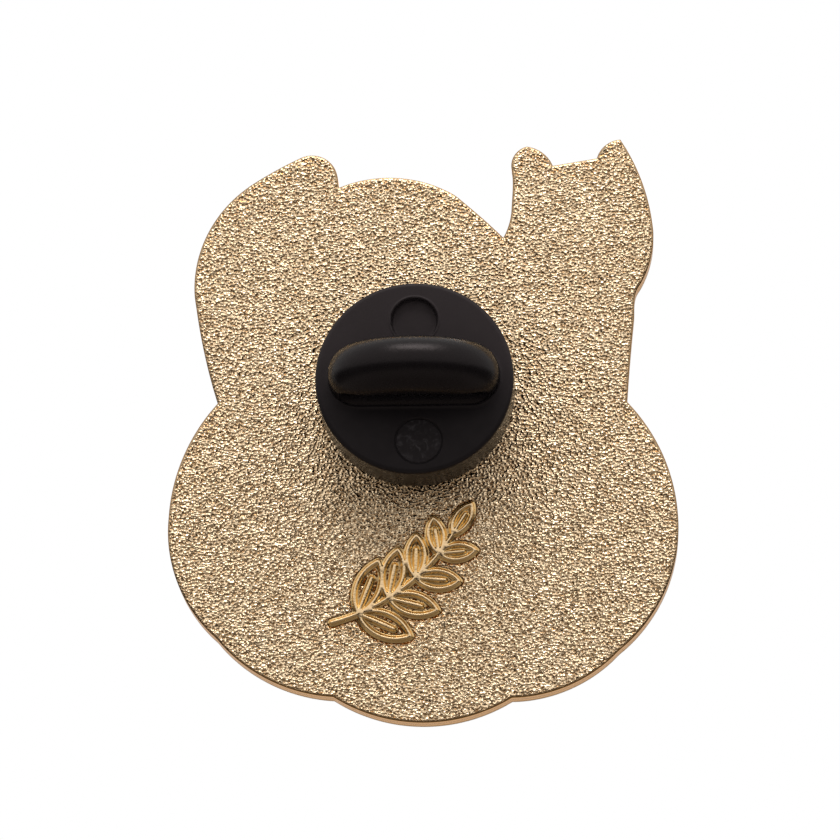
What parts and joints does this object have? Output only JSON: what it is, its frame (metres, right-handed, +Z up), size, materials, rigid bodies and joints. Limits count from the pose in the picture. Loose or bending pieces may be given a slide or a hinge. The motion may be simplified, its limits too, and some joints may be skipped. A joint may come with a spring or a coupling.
{
  "type": "enamel pin",
  "caption": "Flat enamel pin in the outline of a cat resting on a blossom, with a grained metal back, a post and a winged rubber clutch that slides off the post.",
  "frame": {"origin": "axis of the post where it leaves the back of the plate", "axes": "+Z up as worn, towards the ears; +Y out of the back along the post; the enamel front faces -Y"},
  "size_m": [0.0296, 0.0086, 0.0351],
  "materials": {
    "gold_plate": "gold plated, sandblasted back with smooth edges",
    "post_metal": "gold plated, drawn wire",
    "solder": "plated brazing fillet",
    "black_rubber": "moulded black rubber, satin",
    "enamel_ginger": "glossy soft enamel",
    "enamel_rust": "glossy soft enamel",
    "enamel_cream": "glossy soft enamel",
    "enamel_pink": "glossy soft enamel",
    "enamel_blush": "glossy soft enamel",
    "enamel_rose": "glossy soft enamel",
    "enamel_coral": "glossy soft enamel",
    "enamel_yellow": "glossy soft enamel"
  },
  "bodies": {
    "badge": {"base_plate": "gold_plate", "enamel_back": "enamel_ginger", "enamel_back_stripe_1": "enamel_rust", "enamel_back_stripe_2": "enamel_rust", "enamel_back_stripe_3": "enamel_rust", "enamel_brow": "enamel_rust", "enamel_chest": "enamel_cream", "enamel_face": "enamel_ginger", "enamel_far_ear": "enamel_pink", "enamel_flower_eye": "enamel_yellow", "enamel_haunch": "enamel_ginger", "enamel_inner_petal_1": "enamel_coral", "enamel_inner_petal_2": "enamel_coral", "enamel_inner_petal_3": "enamel_coral", "enamel_inner_petal_4": "enamel_coral", "enamel_inner_petal_5": "enamel_coral", "enamel_inner_petal_6": "enamel_coral", "enamel_inner_petal_7": "enamel_coral", "enamel_inner_petal_8": "enamel_coral", "enamel_left_paw": "enamel_cream", "enamel_muzzle": "enamel_cream", "enamel_near_ear": "enamel_pink", "enamel_nose": "enamel_pink", "enamel_outer_petal_1": "enamel_blush", "enamel_outer_petal_2": "enamel_blush", "enamel_outer_petal_3": "enamel_blush", "enamel_outer_petal_4": "enamel_blush", "enamel_outer_petal_5": "enamel_blush", "enamel_outer_petal_6": "enamel_blush", "enamel_outer_petal_7": "enamel_blush", "enamel_outer_petal_8": "enamel_blush", "enamel_petal_shade_1": "enamel_rose", "enamel_petal_shade_2": "enamel_rose", "enamel_petal_shade_3": "enamel_rose", "enamel_petal_shade_4": "enamel_rose", "enamel_petal_shade_5": "enamel_rose", "enamel_petal_shade_6": "enamel_rose", "enamel_petal_shade_7": "enamel_rose", "enamel_petal_shade_8": "enamel_rose", "enamel_right_paw": "enamel_cream", "enamel_tail_band_1": "enamel_ginger", "enamel_tail_band_2": "enamel_ginger", "enamel_tail_root": "enamel_ginger", "enamel_tail_stripe_1": "enamel_rust", "enamel_tail_stripe_2": "enamel_rust", "enamel_tail_stripe_3": "enamel_rust", "enamel_tail_tip": "enamel_cream", "post": "post_metal", "solder_ring": "solder"},
    "clutch": {"rubber_clutch": "black_rubber"}
  },
  "joints": [
    {"name": "clutch_slide", "type": "slide", "parent": "badge", "child": "clutch", "axis": [0, 1, 0], "range_m": [0, 0.012]}
  ]
}
